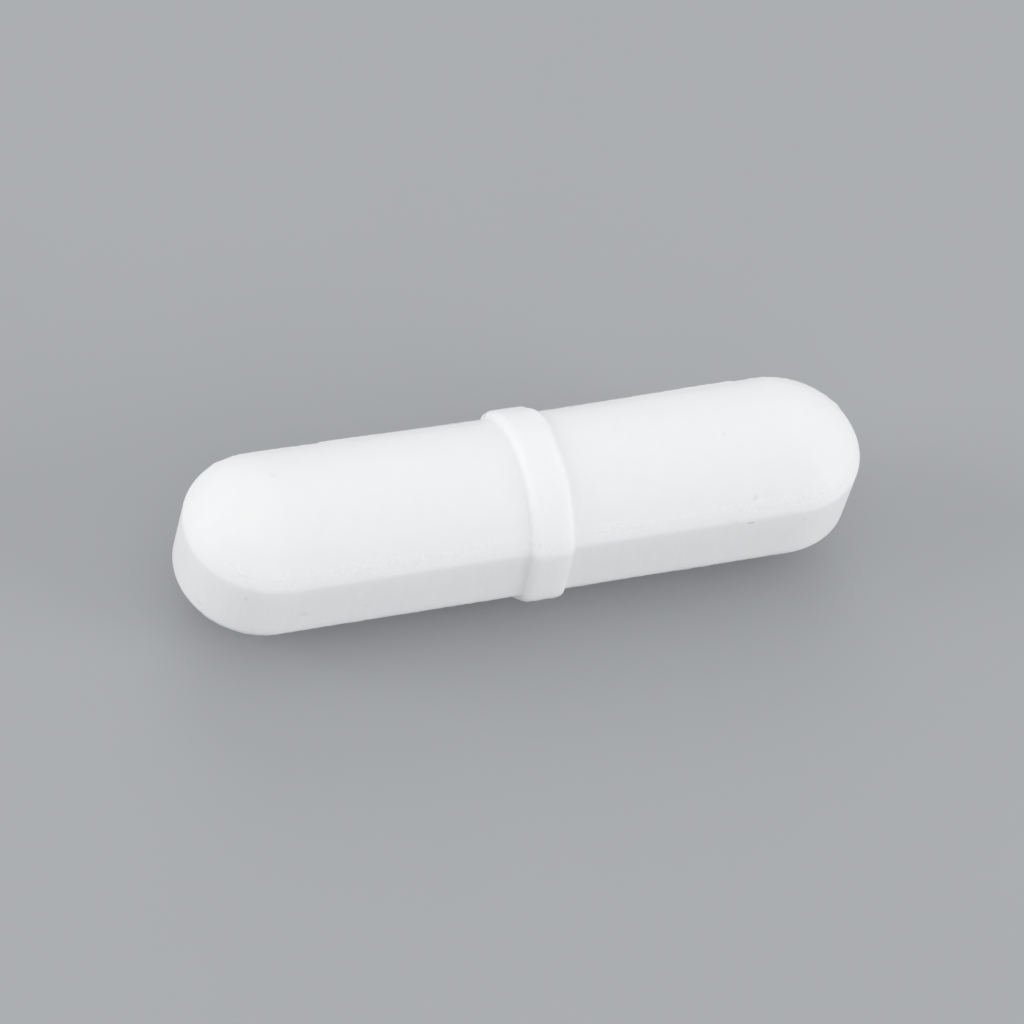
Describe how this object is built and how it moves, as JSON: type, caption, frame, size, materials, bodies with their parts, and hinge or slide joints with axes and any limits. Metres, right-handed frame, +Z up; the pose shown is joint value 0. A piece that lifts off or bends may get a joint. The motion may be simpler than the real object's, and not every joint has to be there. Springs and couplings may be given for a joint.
{
  "type": "magnetic stir bar",
  "caption": "White moulded stirring bar with flat sides, domed faces, round ends and a raised pivot ring round its middle, closed over a rod magnet.",
  "frame": {"origin": "under the middle of the bar, at the lowest point of the pivot ring, on the surface that the bar lies on", "axes": "+X along the bar, +Y across it towards one of the two flat side bands, +Z up through the domed faces"},
  "size_m": [0.038, 0.0098, 0.01],
  "materials": {
    "fluoropolymer": "satin",
    "magnet": "matte"
  },
  "bodies": {
    "root": {"jacket": "fluoropolymer", "magnet_core": "magnet"}
  },
  "joints": []
}
